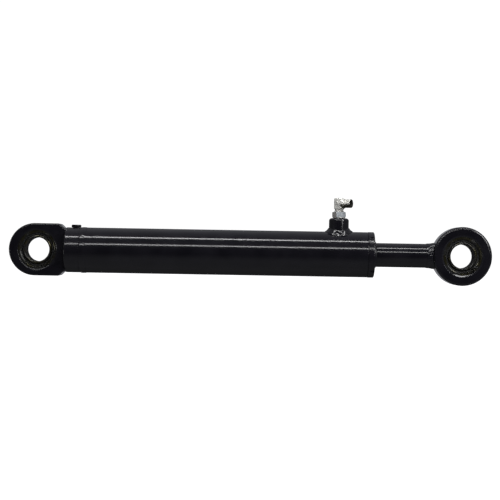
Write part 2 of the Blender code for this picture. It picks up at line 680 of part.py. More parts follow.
def make_piston():
    """Piston with two guide grooves, a seal groove and a groove for its O-ring inside."""
    bore = SPIGOT_ROD_R + GAP
    end = PISTON_END - GAP
    piston = turned("piston", [
        (PISTON_START, bore), (PISTON_START, PISTON_R - 0.001), (PISTON_START + 0.001, PISTON_R),
        (0.0984, PISTON_R), (0.0984, 0.0232), (0.1072, 0.0232), (0.1072, PISTON_R),
        (0.1097, PISTON_R), (0.1097, 0.0205), (0.1167, 0.0205), (0.1167, PISTON_R),
        (0.1208, PISTON_R), (0.1208, 0.0232), (0.1296, 0.0232), (0.1296, PISTON_R),
        (end, PISTON_R - 0.001), (end, bore),
        (0.1266, bore), (0.1266, 0.0148), (0.1238, 0.0148), (0.1238, bore),
    ], finish="cast_iron")
    nut = hex_nut("piston_nut", 0.0381, SPIGOT_ROD_R + GAP, ROD_START + 0.0004, NUT_END, "X", (0, 0, 0),
                  "ground_steel")
    seal = o_ring("piston_o_ring", 0.01390, 0.00065, "X", (0.1252, 0, 0))
    return [piston, nut, seal]


def make_piston_rings():
    """Rings that slide with the piston and need not turn with it."""
    guides = [
        split_ring("piston_guide_ring_rear", 0.0235, RING_R, 0.0987, 0.1069, "glass_filled_nylon", 0.4),
        split_ring("piston_guide_ring_front", 0.0235, RING_R, 0.1211, 0.1293, "glass_filled_nylon", 3.4),
    ]
    seal = ring_shape("piston_seal", 0.0231, RING_R, 0.1100, 0.1164, finish="bronze_ptfe")
    energiser = o_ring("piston_seal_energiser", 0.0218, 0.00095, "X", (0.1132, 0, 0))
    return [*guides, seal, energiser]


# ---- build ----------------------------------------------------------------------------------------------
def build():
    rod_pin = (PIN_DISTANCE, 0, 0)
    barrel = empty("barrel_axis")
    sliding = empty("rod_slide_axis", (PISTON_START, 0, 0))
    turning = empty("rod_turn_axis", (PISTON_START, 0, 0))
    cap_pivot = empty("cap_pin_axis")
    rod_pivot = empty("rod_pin_axis", rod_pin)

    attach(barrel, make_cap_eye(), make_cap_weld(), *make_cap_port_plug())
    attach(barrel, *make_bearing("cap", (0, 0, 0)))
    attach(barrel, grease_nipple("cap_grease_nipple", (0, 0, 0), CAP_EYE_R - CAP_NOSE, math.pi))
    attach(barrel, make_barrel_tube(), make_gland(), *make_gland_rings())
    attach(barrel, make_port_boss(), make_port_boss_weld(), *make_elbow())

    attach(sliding, *make_piston_rings())

    attach(turning, make_rod(), make_rod_eye(), make_rod_eye_weld(), *make_piston())
    attach(turning, *make_bearing("rod", rod_pin))
    attach(turning, grease_nipple("rod_grease_nipple", rod_pin, ROD_EYE_R, NIPPLE_ANGLE))

    attach(cap_pivot, bearing_ball("cap_bearing_ball", (0, 0, 0)))
    attach(rod_pivot, bearing_ball("rod_bearing_ball", rod_pin))


clear_scene()
CYLINDER = collection("hydraulic_cylinder")
CUTTERS = collection("cutters", hidden=True)
build()
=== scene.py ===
"""Hydraulic cylinder: smooth surfaces, welds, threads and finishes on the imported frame.

Turned pieces are drawn as sections, lists of (distance along the axis, radius), and revolved.
Distances are in metres in the frame of the CAD: +X runs to the rod end, the pins lie along Y and
the ports are on the +Z side.
"""

import math

import bmesh
import bpy
from mathutils import Matrix, Vector, noise

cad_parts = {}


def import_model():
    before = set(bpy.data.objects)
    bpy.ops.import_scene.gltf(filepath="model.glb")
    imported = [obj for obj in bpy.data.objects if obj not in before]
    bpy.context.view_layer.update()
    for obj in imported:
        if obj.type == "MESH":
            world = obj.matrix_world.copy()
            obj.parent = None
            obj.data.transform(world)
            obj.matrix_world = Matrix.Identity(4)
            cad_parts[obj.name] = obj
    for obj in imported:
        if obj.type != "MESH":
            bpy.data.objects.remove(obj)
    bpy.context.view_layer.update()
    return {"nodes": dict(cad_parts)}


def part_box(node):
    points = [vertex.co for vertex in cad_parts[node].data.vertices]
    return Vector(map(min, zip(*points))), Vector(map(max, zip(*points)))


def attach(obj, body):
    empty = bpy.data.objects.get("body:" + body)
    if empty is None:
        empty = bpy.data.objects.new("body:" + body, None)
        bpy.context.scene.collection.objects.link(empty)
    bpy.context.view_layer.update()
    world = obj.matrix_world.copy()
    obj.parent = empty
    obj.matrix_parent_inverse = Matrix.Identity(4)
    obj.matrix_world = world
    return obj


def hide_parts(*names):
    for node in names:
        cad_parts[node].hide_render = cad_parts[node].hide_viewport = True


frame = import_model()

TAU = 2 * math.pi


def low(node, axis):
    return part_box(node)[0][axis]


def high(node, axis):
    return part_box(node)[1][axis]


def middle(node, axis):
    return (low(node, axis) + high(node, axis)) / 2


# ---- places and sizes of the frame -----------------------------------------------------------
GAP = 0.0003  # between pieces that touch in the real object
ORIGIN = (0.0, 0.0, 0.0)
CAP_PIN = ORIGIN
ROD_PIN = (middle("rod_bearing_ball", 0), 0.0, 0.0)
EYE_HALF = high("rod_eye", 1)
CAP_EYE_R = high("cap_eye", 2)
CAP_NOSE = low("cap_eye", 0) + CAP_EYE_R
CAP_REACH = CAP_EYE_R - CAP_NOSE
ROD_EYE_R = high("rod_eye", 2)
RACE_HALF = high("cap_bearing_race", 1)
RACE_R = high("cap_bearing_race", 2)
BALL_HALF = high("cap_bearing_ball", 1)
BALL_R = high("cap_bearing_ball", 2)
CLIP_FAR = high("cap_circlip_rear", 1)
CLIP_NEAR = low("cap_circlip_rear", 1)
CLIP_R = high("cap_circlip_rear", 2)
PIN_BORE_R = 0.015875

NECK_START, NECK_R, NECK_END = 0.0362, 0.0300, 0.0556
SPIGOT_END = high("cap_eye", 0)
TUBE_START, TUBE_END = low("barrel_tube", 0), high("barrel_tube", 0)
TUBE_R = high("barrel_tube", 2)
BORE_R = 0.0254
ROD_R = high("piston_rod", 2)
ROD_START = low("piston_rod", 0)
GLAND_NOSE = low("gland", 0)
COLLAR_START, COLLAR_END = TUBE_END + GAP, high("gland", 0)
COLLAR_R = high("gland", 2)
SLOT_COUNT, SLOT_INNER, SLOT_WIDTH, SLOT_HEIGHT = 4, 0.0030, 0.0050, 0.0045
ROD_WELD_START, ROD_WELD_END = low("rod_eye_weld", 0), high("rod_eye_weld", 0)
ROD_WELD_R = high("rod_eye_weld", 2)
CAP_NIPPLE_TURN, ROD_NIPPLE_TURN = math.pi, math.radians(78)

PLUG_X = middle("cap_port_plug", 0)
PLUG_TOP = high("cap_port_plug", 2)
PLUG_FACE = 0.0294
PORT_X = middle("port_boss", 0)
BOSS_R = (high("port_boss", 0) - low("port_boss", 0)) / 2
BOSS_TOP = high("port_boss", 2)
BOSS_WELD_R = (high("port_boss_weld", 0) - low("port_boss_weld", 0)) / 2
NUT_BOTTOM, NUT_TOP = low("elbow_lock_nut", 2), high("elbow_lock_nut", 2)
NUT_TURN = math.radians(34)
NUT_WIDTH = high("elbow_lock_nut", 0) - low("elbow_lock_nut", 0)
NUT_CORNER = NUT_WIDTH / 2 / math.cos(NUT_TURN - math.radians(30))
STUD_R, STUD_RELIEF_R, BOSS_THREAD_R = 0.0064, 0.0056, 0.0068
ELBOW_TOP = high("elbow_body", 2)
ELBOW_AXIS = ELBOW_TOP - 0.0074
ELBOW_TURN = math.radians(-28)
ELBOW_REACH = 0.0179


# ---- mesh tools ------------------------------------------------------------------------------
def rounded(points, closed=True, steps=5):
    """A section with rounded corners: a point is (along, radius) or (along, radius, rounding)."""
    out, count = [], len(points)
    for i, point in enumerate(points):
        here = Vector(point[:2])
        if len(point) < 3 or (not closed and i in (0, count - 1)):
            out.append(tuple(here))
            continue
        before = Vector(points[i - 1][:2]) - here
        after = Vector(points[(i + 1) % count][:2]) - here
        half = before.angle(after) / 2
        room = [0.49 if len(points[k % count]) > 2 else 0.98 for k in (i - 1, i + 1)]
        reach = min(point[2] / math.tan(half), room[0] * before.length, room[1] * after.length)
        radius = reach * math.tan(half)
        inward = (before.normalized() + after.normalized()).normalized()
        centre = here + inward * (radius / math.sin(half))
        first = here + before.normalized() * reach - centre
        last = here + after.normalized() * reach - centre
        sweep = first.angle(last)
        for k in range(steps + 1):
            t = k / steps
            share = (math.sin((1 - t) * sweep), math.sin(t * sweep))
            out.append(tuple(centre + (first * share[0] + last * share[1]) / math.sin(sweep)))
    return out


def resampled(section, step, start, end):
    """Adds points to a section so that none between start and end are further apart than step."""
    out = []
    for a, b in zip(section, section[1:] + section[:1]):
        out.append(a)
        inside = start - 1e-6 <= min(a[0], b[0]) and max(a[0], b[0]) <= end + 1e-6
        length = math.dist(a, b)
        if inside and length > step:
            count = math.ceil(length / step)
            out += [tuple(Vector(a).lerp(Vector(b), k / count)) for k in range(1, count)]
    return out


def place(axis, along, radius, angle):
    """A point at an angle round an axis, as (x, y, z)."""
    c, s = radius * math.cos(angle), radius * math.sin(angle)
    return {"X": (along, s, c), "Y": (c, along, s), "Z": (c, s, along)}[axis]


def mesh_object(name, shape):
    """A new object from a bmesh, facing outward."""
    bmesh.ops.recalc_face_normals(shape, faces=shape.faces)
    mesh = bpy.data.meshes.new(name)
    shape.to_mesh(mesh)
    shape.free()
    made = bpy.data.objects.new(name, mesh)
    bpy.context.scene.collection.objects.link(made)
    return made


def revolved(name, section, axis, centre, segments, warp=None):
    """A turned piece. warp(angle, along, radius) may move the points of the section."""
    shape = bmesh.new()
    rings = []
    for along, radius in section:
        if radius < 1e-7:
            rings.append([shape.verts.new(place(axis, along, 0, 0))])
            continue
        ring = []
        for k in range(segments):
            angle = TAU * k / segments
            moved = warp(angle, along, radius) if warp else (along, radius)
            ring.append(shape.verts.new(place(axis, *moved, angle)))
        rings.append(ring)
    for ring, following in zip(rings, rings[1:] + rings[:1]):
        if len(ring) == 1 and len(following) == 1:
            continue
        for k in range(segments):
            m = (k + 1) % segments
            if len(ring) == 1:
                shape.faces.new((ring[0], following[k], following[m]))
            elif len(following) == 1:
                shape.faces.new((ring[k], ring[m], following[0]))
            else:
                shape.faces.new((ring[k], ring[m], following[m], following[k]))
    made = mesh_object(name, shape)
    made.data.transform(Matrix.Translation(centre))
    return made


def extruded(name, outline, start, end):
    """A solid with an outline in X and Z, from start to end in Y."""
    shape = bmesh.new()
    face = shape.faces.new([shape.verts.new((x, start, z)) for x, z in outline])
    side = bmesh.ops.extrude_face_region(shape, geom=[face])["geom"]
    moved = [v for v in side if isinstance(v, bmesh.types.BMVert)]
    bmesh.ops.translate(shape, verts=moved, vec=(0, end - start, 0))
    return mesh_object(name, shape)


def hexagon(name, corner, start, end, centre, turn=0):
    """Hexagonal prism along Z, given the radius to its corners."""
    shape = bmesh.new()
    place_at = Matrix.Translation((0, 0, (start + end) / 2)) @ Matrix.Rotation(turn, 4, "Z")
    bmesh.ops.create_cone(shape, cap_ends=True, segments=6, radius1=corner, radius2=corner,
                          depth=end - start, matrix=place_at)
    made = mesh_object(name, shape)
    made.data.transform(Matrix.Translation(centre))
    return made


def applied(obj):
    """Turns an object's modifiers into its mesh."""
    bpy.context.view_layer.update()
    mesh = bpy.data.meshes.new_from_object(obj.evaluated_get(bpy.context.evaluated_depsgraph_get()))
    old = obj.data
    obj.modifiers.clear()
    obj.data = mesh
    bpy.data.meshes.remove(old)
    return obj


def combined(obj, operation, other):
    """Joins an object with another, or cuts it with it, and removes the other."""
    step = obj.modifiers.new(operation.lower(), "BOOLEAN")
    step.operation = operation
    step.solver = "EXACT"
    step.object = other
    applied(obj)
    bpy.data.objects.remove(other)


def bevelled(obj, width, segments, angle):
    """Rounds the edges that are sharper than an angle in degrees."""
    step = obj.modifiers.new("edge", "BEVEL")
    step.width = width
    step.segments = segments
    step.limit_method = "ANGLE"
    step.angle_limit = math.radians(angle)
    return applied(obj)


def softened(obj, voxel, passes):
    """Rebuilds a rough union as one forged skin with blended corners."""
    step = obj.modifiers.new("skin", "REMESH")
    step.mode = "VOXEL"
    step.voxel_size = voxel
    smooth = obj.modifiers.new("flow", "SMOOTH")
    smooth.factor = 0.5
    smooth.iterations = passes
    applied(obj)


def finish(obj, body, nodes, material, angle=32):
    """Shades a piece, gives it its material and sets it on its CAD body in place of its nodes."""
    for face in obj.data.polygons:
        face.use_smooth = True
    obj.data.set_sharp_from_angle(angle=math.radians(angle))
    obj.data.materials.clear()
    obj.data.materials.append(material)
    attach(obj, body)
    if nodes:
        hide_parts(*nodes)


def thread(pitch, depth, start, end):
    """Warp for a thread between two stations, its first and last turns faded."""
    flat = 0.14

    def warp(angle, along, radius):
        if not start <= along <= end:
            return along, radius
        ridge = abs(2 * ((along / pitch - angle / TAU) % 1) - 1)
        ridge = min(max((ridge - flat) / (1 - 2 * flat), 0), 1)
        fade = min(1, (along - start) / pitch, (end - along) / pitch)
        return along, radius - depth * (1 - ridge) * fade

    return warp


def dimes(turns, height, seed, across=1.1):
    """Height of a weld bead's overlapping ripples, at a share of the circle and across the bead.

    across sets how quickly the bead's roughness changes from one toe to the other.
    """
    trail, unevenness, sink, coarseness = 0.55, 0.45, 0.45, 0.7
    around = turns / TAU * 0.8

    def rise(share, across_at):
        drift = noise.noise(Vector((share * 9 + seed, across_at * 0.7, seed)))
        phase = share * turns + trail * across_at * across_at + unevenness * drift
        lump = abs(math.sin(math.pi * phase)) ** 1.3
        toe = 1 - abs(across_at) ** 4
        rough = noise.noise(Vector((math.cos(TAU * share) * around, math.sin(TAU * share) * around,
                                    across * across_at + seed)))
        return toe * height * (lump - sink + coarseness * rough)

    return rise


# ---- finishes --------------------------------------------------------------------------------
def new_node(tree, kind, inputs, **settings):
    """A shader node whose inputs are values or the outputs of other nodes."""
    made = tree.nodes.new(kind)
    for key, value in settings.items():
        setattr(made, key, value)
    for key, value in inputs.items():
        if isinstance(value, bpy.types.NodeSocket):
            tree.links.new(value, made.inputs[key])
        else:
            made.inputs[key].default_value = value
    return made


class Finish:
    """A node material under construction: one Principled shader over object coordinates."""

    def __init__(self, name):
        self.material = bpy.data.materials.new(name)
        self.material.use_nodes = True
        self.tree = self.material.node_tree
        self.shader = self.tree.nodes["Principled BSDF"]
        self.coords = self.tree.nodes.new("ShaderNodeTexCoord").outputs["Object"]
        self.surface = None

    def node(self, kind, inputs):
        return new_node(self.tree, kind, inputs)

    def set(self, **values):
        for key, value in values.items():
            socket = self.shader.inputs[key.replace("_", " ")]
            if isinstance(value, bpy.types.NodeSocket):
                self.tree.links.new(value, socket)
            else:
                socket.default_value = value

    def stretched(self, scale):
        made = self.node("ShaderNodeMapping", {"Vector": self.coords})
        made.inputs["Scale"].default_value = scale
        return made.outputs["Vector"]

    def cloud(self, scale, detail, roughness=0.55, vector=None):
        made = self.node("ShaderNodeTexNoise", {"Vector": vector or self.coords, "Scale": scale,
                                                "Detail": detail, "Roughness": roughness})
        return made.outputs["Fac"]

    def cells(self, scale):
        made = self.node("ShaderNodeTexVoronoi", {"Vector": self.coords, "Scale": scale})
        return made.outputs["Distance"]

    def ramp(self, value, start, end, to=(0.0, 1.0)):
        made = self.node("ShaderNodeMapRange", {"Value": value, "From Min": start, "From Max": end,
                                                "To Min": to[0], "To Max": to[1]})
        return made.outputs["Result"]

    def mixed(self, share, first, second):
        """Blends two colours, each a triple or an output."""
        first, second = (value if isinstance(value, bpy.types.NodeSocket) else (*value, 1)
                         for value in (first, second))
        made = new_node(self.tree, "ShaderNodeMix", {0: share, 6: first, 7: second},
                        data_type="RGBA")
        return made.outputs[2]

    def bump(self, height, distance):
        """Adds a layer of relief on top of those already there."""
        made = self.node("ShaderNodeBump", {"Height": height, "Distance": distance,
                                            "Strength": 1.0})
        if self.surface:
            self.tree.links.new(self.surface, made.inputs["Normal"])
        self.surface = made.outputs["Normal"]
        self.set(Normal=self.surface)


def enamel(name, skin=0.0, gloss=0.09):
    """Sprayed black enamel: orange peel and slow waves, over forged or spattered steel."""
    paint = Finish(name)
    tint = paint.ramp(paint.cloud(38, 2), 0.35, 0.7)
    paint.set(Base_Color=paint.mixed(tint, (0.0045, 0.0042, 0.0068), (0.0085, 0.0080, 0.0115)))
    paint.set(Roughness=paint.ramp(paint.cloud(55, 4), 0.3, 0.75, (gloss, gloss + 0.07)))
    paint.set(IOR=1.5)
    if skin:
        paint.bump(paint.cloud(340, 5, 0.6), skin)
        paint.bump(paint.cells(210), skin * 0.35)
    paint.bump(paint.cloud(52, 1), 0.000035)
    paint.bump(paint.cloud(820, 1, 0.4), 0.000004)
    return paint.material


def zinc(name, dark, pale, metallic, forged=0.0):
    """Zinc plate, clouded and passivated. forged is the depth of the die skin under it, if any."""
    plate = Finish(name)
    cloud = plate.ramp(plate.cloud(260, 4), 0.3, 0.7)
    spots = plate.ramp(plate.cloud(900, 3), 0.62, 0.74)
    clouded = plate.mixed(cloud, dark, pale)
    spotted = tuple(c * 0.7 for c in dark)
    plate.set(Base_Color=plate.mixed(spots, clouded, spotted), Metallic=metallic)
    satin = 0.31 if forged else 0.22
    plate.set(Roughness=plate.ramp(plate.cloud(420, 4), 0.3, 0.75, (satin, satin + 0.16)))
    if forged:
        plate.bump(plate.cloud(520, 4, 0.6), forged)
    plate.bump(plate.cloud(2400, 2), 0.000006)
    return plate.material


def phosphate(name, dark, pale, greased, bare):
    """Dark phosphated bearing steel under a smear of grease. bare is how metallic it looks."""
    steel = Finish(name)
    grain = steel.ramp(steel.cloud(700, 5), 0.3, 0.7)
    base = steel.mixed(grain, dark, pale)
    grease = steel.ramp(steel.cloud(85, 3), 0.45, 0.60)
    steel.set(Base_Color=steel.mixed(grease, base, greased))
    steel.set(Roughness=steel.ramp(grease, 0, 1, (0.28, 0.14)), Metallic=bare)
    steel.bump(steel.cloud(1500, 3), 0.000006)
    steel.bump(steel.cloud(160, 2), 0.00002)
    return steel.material


def turned_steel(name, colour, roughness, metallic=1.0):
    """Machined or ground metal with fine marks round the X axis."""
    steel = Finish(name)
    marks = steel.cloud(1, 3, 0.6, steel.stretched((3800, 60, 60)))
    darker = tuple(c * 0.82 for c in colour)
    steel.set(Base_Color=steel.mixed(steel.ramp(marks, 0.3, 0.7), darker, colour))
    steel.set(Roughness=steel.ramp(marks, 0.2, 0.8, (roughness, roughness + 0.1)))
    steel.set(Metallic=metallic)
    steel.bump(marks, 0.000004)
    return steel.material


def moulded(name, colour, roughness, sheen=0.0):
    """Rubber or plastic with a fine moulded grain and a little bloom."""
    part = Finish(name)
    bloom = part.ramp(part.cloud(120, 4), 0.35, 0.7)
    pale = tuple(c * 1.7 + 0.004 for c in colour)
    part.set(Base_Color=part.mixed(bloom, colour, pale))
    part.set(Roughness=part.ramp(bloom, 0, 1, (roughness, roughness + 0.12)), Sheen_Weight=sheen)
    part.bump(part.cloud(1900, 2), 0.000012)
    part.set(IOR=1.35)
    return part.material


PAINT = enamel("black_enamel")
PAINT_FORGED = enamel("black_enamel_on_forging", skin=0.000007, gloss=0.11)
PAINT_WELD = enamel("black_enamel_on_weld", gloss=0.05)
PAINT_ROUGH = enamel("black_enamel_on_sawn_steel", skin=0.00005, gloss=0.13)
PAINT_GLAND = enamel("black_enamel_on_cast_iron", skin=0.00016, gloss=0.14)
ZINC = zinc("clear_zinc_plate", (0.50, 0.54, 0.57), (0.74, 0.785, 0.82), 0.4)
# Painted shade: darker zinc for the nut's facets facing -X, the washer under the nut and the
# elbow's stem above the nut.
ZINC_SHADED = zinc("zinc_plate_painted_shade", (0.42, 0.41, 0.39), (0.58, 0.56, 0.53), 0.5)
# Painted shade: near-black zinc for the underside of the elbow's leg.
ZINC_SHADED_UNDERSIDE = zinc("zinc_plate_painted_underside_shade", (0.05, 0.05, 0.035), (0.12, 0.115, 0.085), 0.6, 0.00002)
ZINC_FORGED = zinc("zinc_plate_on_forging", (0.68, 0.68, 0.63), (0.92, 0.91, 0.86), 0.4, 0.00003)
BEARING = phosphate("phosphated_race", (0.008, 0.008, 0.009), (0.022, 0.022, 0.020),
                    greased=(0.021, 0.020, 0.013), bare=0.3)
BALL_STEEL = phosphate("phosphated_ball", (0.030, 0.030, 0.031), (0.075, 0.074, 0.070),
                       greased=(0.060, 0.055, 0.030), bare=0.8)
CHROME = turned_steel("hard_chrome", (0.72, 0.73, 0.75), 0.06)
STEEL = turned_steel("machined_steel", (0.42, 0.42, 0.43), 0.3)
IRON = turned_steel("machined_cast_iron", (0.20, 0.20, 0.21), 0.45, 0.9)
NITRILE = moulded("nitrile_rubber", (0.010, 0.010, 0.010), 0.5, 0.1)
WIPER = moulded("painted_over_rubber", (0.006, 0.006, 0.008), 0.2)
# Near black: for the ball's bore, and as painted shade for the elbow's tube end and bore.
DARK_BORE = moulded("dark_steel_bore", (0.010, 0.009, 0.007), 0.6)
URETHANE = moulded("blue_polyurethane", (0.04, 0.11, 0.26), 0.35)
NYLON = moulded("glass_filled_nylon", (0.025, 0.085, 0.05), 0.5)
PTFE = moulded("bronze_filled_ptfe", (0.26, 0.165, 0.085), 0.45)


# ---- bearings --------------------------------------------------------------------------------
CAP_MOUTH_R, CAP_MOUTH_CHAMFER = 0.0267, 0.0006
ROD_MOUTH_R, ROD_MOUTH_CHAMFER = 0.0277, 0.0014
GROOVE_R, GROOVE_NEAR, GROOVE_FAR = 0.0270, 0.0122, 0.0143
SEAT_R = RACE_R + GAP


def seat_side(mouth, chamfer):
    """The wall of a bearing seat from its middle to its mouth, as (along the pin, radius)."""
    return [
        (GROOVE_NEAR, SEAT_R), (GROOVE_NEAR, GROOVE_R),
        (GROOVE_FAR, GROOVE_R), (GROOVE_FAR, SEAT_R),
        (EYE_HALF - chamfer, SEAT_R, 0.0002), (EYE_HALF, mouth, 0.0002),
    ]


def mirrored(side):
    """The other half of a section that is the same on both sides of the pin's middle."""
    return [(-p[0], *p[1:]) for p in reversed(side)]


def turned(along, outer, inner):
    """Shallow tool marks across a flat face, from its outer radius to its inner one."""
    pitch, depth = 0.00036, 0.00004
    count = int((outer - inner) / pitch)
    radii = [outer + (inner - outer) * k / count for k in range(count + 1)]
    return [(along - depth * (k % 2), radius) for k, radius in enumerate(radii)]


def inner_ring(name, pin, body, node):
    """The ball: a sphere cut flat at both ends, with a bore, turned faces and a grease groove."""
    reach = math.asin((BALL_HALF - 0.0004) / BALL_R)
    sphere = [(BALL_R * math.sin(a), BALL_R * math.cos(a))
              for a in (reach * (k / 18 - 1) for k in range(37))]
    bore, edge, groove = PIN_BORE_R, 0.0012, PIN_BORE_R + 0.0005
    rim = sphere[-1][1] - 0.0006
    flat = [(BALL_HALF, rim, 0.0004), *turned(BALL_HALF, rim - 0.0002, bore + edge + 0.0001),
            (BALL_HALF, bore + edge, 0.0003), (BALL_HALF - edge, bore, 0.0004)]
    section = [
        *sphere, *flat,
        (0.0012, bore), (0.0008, groove, 0.0003), (-0.0008, groove, 0.0003), (-0.0012, bore),
        *mirrored(flat),
    ]
    ring = revolved(name, rounded(section), "Y", pin, 144)
    finish(ring, body, [node], BALL_STEEL, 40)
    ring.data.materials.append(DARK_BORE)
    for face in ring.data.polygons:
        if math.hypot(face.center.x - pin[0], face.center.z) < bore + 0.0002:
            face.material_index = 1


def outer_ring(name, pin, body, node):
    """The race, with a recess for a lip seal at each end and a worn chamfer round the recess."""
    seat, recess, depth, chamfer = BALL_R + GAP, 0.0219, 0.0016, 0.0009
    inside = RACE_HALF - depth
    reach = math.asin(inside / seat)
    sphere = [(seat * math.sin(a), seat * math.cos(a))
              for a in (reach * (1 - k / 12) for k in range(25))]
    flat = [(RACE_HALF, RACE_R, 0.0007),
            *turned(RACE_HALF, RACE_R - 0.0009, recess + chamfer + 0.0001),
            (RACE_HALF, recess + chamfer, 0.0001), (RACE_HALF - 0.0005, recess, 0.0001)]
    section = [*mirrored(flat), *flat, (inside, recess), *sphere, (-inside, recess)]
    ring = revolved(name, rounded(section), "Y", pin, 144)
    finish(ring, body, [node], BEARING, 40)
    ring.data.materials.append(BALL_STEEL)
    for face in ring.data.polygons:
        beyond = math.hypot(face.center.x - pin[0], face.center.z) - recess
        sloping = 0.2 < abs(face.normal.y) < 0.98
        if sloping and 0.0001 < beyond < chamfer:
            face.material_index = 1


def lip_seal(name, pin, body, node, side):
    """Rubber ring in the race's recess, its lip just clear of the ball."""
    near, far, outer = RACE_HALF - 0.0013, RACE_HALF - 0.0002, 0.0216

    def lip(y):
        return math.sqrt(BALL_R ** 2 - y ** 2) + GAP * 0.6

    section = [
        (near, outer, 0.0002), (far, outer, 0.0002), (far - 0.0002, 0.0209, 0.0002),
        (far, lip(far) + 0.0002, 0.0001), (far - 0.0002, lip(far - 0.0002)), (near, lip(near)),
    ]
    section = rounded([(side * p[0], *p[1:]) for p in section])
    ring = revolved(name, section, "Y", pin, 120)
    finish(ring, body, [node], NITRILE, 40)


def retaining_ring(name, pin, body, node, side):
    """Stamped circlip: tapering round its circle to two drilled lugs."""
    gap, lug, turn = math.radians(9), math.radians(20), math.radians(-60)
    outer, inner, taper, lug_r = CLIP_R, 0.0229, 0.0004, 0.0203
    hole_at, hole_r = 0.0228, 0.0011
    steps = 96
    angles = [gap + (TAU - 2 * gap) * k / steps for k in range(steps + 1)]
    back = [lug + (TAU - 2 * lug) * k / steps for k in range(steps, -1, -1)]
    outline = [(outer, a) for a in angles]
    outline += [(lug_r, a) for a in (-gap, -(gap + lug) / 2, -lug)]
    outline += [(inner + taper * math.cos(a), a) for a in back]
    outline += [(lug_r, a) for a in (lug, (gap + lug) / 2, gap)]
    points = [(r * math.cos(a + turn), r * math.sin(a + turn)) for r, a in outline]
    start, end = sorted((side * CLIP_NEAR, side * CLIP_FAR))
    ring = extruded(name, points, start, end)
    for way in (-1, 1):
        a = way * (gap + lug) / 2 + turn
        at = (hole_at * math.cos(a), 0, hole_at * math.sin(a))
        hole = [(start - 0.001, 0), (start - 0.001, hole_r),
                (end + 0.001, hole_r), (end + 0.001, 0)]
        combined(ring, "DIFFERENCE", revolved("hole", hole, "Y", at, 24))
    bevelled(ring, 0.00035, 3, 50)
    ring.data.transform(Matrix.Translation(pin))
    finish(ring, body, [node], BALL_STEEL)


def radial(name, section, pin, angle):
    """A turned piece on a line out from a pin, at an angle up from +X."""
    made = revolved(name, section, "Z", ORIGIN, 48)
    made.data.transform(Matrix.Translation(pin) @ Matrix.Rotation(math.pi / 2 - angle, 4, "Y"))
    return made


def nipple(name, pin, rim, angle, body, node):
    """Flush grease nipple let into the rim of an eye."""
    section = rounded([
        (rim - 0.0062, 0), (rim - 0.0062, 0.0017), (rim - 0.0050, 0.0028, 0.0003),
        (rim + 0.0002, 0.0028, 0.0002), (rim + 0.0004, 0.0023, 0.0002),
        (rim + 0.0004, 0.0011, 0.0002), (rim - 0.0003, 0.0008, 0.0002), (rim - 0.0004, 0),
    ], closed=False)
    finish(radial(name, section, pin, angle), body, [node], ZINC)


def nipple_seat(pin, rim, angle):
    """Cutter for the counterbore round a grease nipple."""
    section = [(SEAT_R - 0.001, 0), (SEAT_R - 0.001, 0.0015), (rim - 0.0066, 0.0015),
               (rim - 0.0063, 0.0031), (rim + 0.004, 0.0031), (rim + 0.004, 0)]
    return radial("seat", section, pin, angle)


def bearing(end, pin, body, ball_body):
    """The spherical bearing of one eye, with its seals and circlips."""
    inner_ring(f"{end}_inner_ring", pin, ball_body, f"{end}_bearing_ball")
    outer_ring(f"{end}_outer_ring", pin, body, f"{end}_bearing_race")
    for word, side in (("front", -1), ("rear", 1)):
        lip_seal(f"{end}_lip_seal_{word}", pin, body, f"{end}_bearing_seal_{word}", side)
        retaining_ring(f"{end}_retaining_ring_{word}", pin, body, f"{end}_circlip_{word}", side)


# ---- cap end ---------------------------------------------------------------------------------
def cap_forging():
    """Eye block with sloping shoulders, neck and spigot in one piece."""
    half = CAP_EYE_R
    nose = [(CAP_NOSE + half * math.cos(a), half * math.sin(a))
            for a in (math.pi * (0.5 + k / 72) for k in range(73))]
    shoulder = [(0.0292, half), (0.0339, half - 0.0047),
                (NECK_START + 0.001, NECK_R - 0.0016), (NECK_START + 0.005, NECK_R - 0.005)]
    outline = [*reversed(shoulder), *nose, *[(x, -z) for x, z in shoulder]]
    block = bevelled(extruded("block", outline, -EYE_HALF, EYE_HALF), 0.0021, 6, 35)

    neck = revolved("cap_forging", rounded([
        (NECK_START, 0), (NECK_START, NECK_R, 0.0022), (NECK_END, NECK_R, 0.0002), (0.0600, BORE_R),
        (0.0600, BORE_R - GAP), (SPIGOT_END, BORE_R - GAP, 0.0015), (SPIGOT_END, 0),
    ], closed=False), "X", ORIGIN, 192)

    combined(neck, "UNION", block)
    wall = [p[:2] for p in seat_side(CAP_MOUTH_R, CAP_MOUTH_CHAMFER)[:-1]]
    over = EYE_HALF + 0.001
    flare = CAP_MOUTH_R + 0.001 * (CAP_MOUTH_R - SEAT_R) / CAP_MOUTH_CHAMFER
    seat = [(over, 0), (over, flare), *reversed(wall),
            *[(-y, radius) for y, radius in wall], (-over, flare), (-over, 0)]
    port = [(0.0, 0), (0.0, 0.004), (0.014, 0.004), (0.0155, 0.00585), (0.0274, 0.00585),
            (PLUG_FACE, 0.0074), (PLUG_FACE, 0.0082), (0.034, 0.0082), (0.034, 0)]
    combined(neck, "DIFFERENCE", revolved("seat", seat, "Y", CAP_PIN, 144))
    combined(neck, "DIFFERENCE", revolved("port", port, "Z", (PLUG_X, 0, 0), 64))
    combined(neck, "DIFFERENCE", nipple_seat(CAP_PIN, CAP_REACH, CAP_NIPPLE_TURN))
    finish(neck, "barrel", ["cap_eye"], PAINT_FORGED)


def ripple_warp(start, end, turns, height, seed):
    """Warp for a weld bead's ripples between two stations."""
    rise = dimes(turns, height, seed)

    def warp(angle, along, radius):
        across = (2 * along - start - end) / (end - start)
        if abs(across) > 1:
            return along, radius
        return along, radius + rise(angle / TAU, across)

    return warp


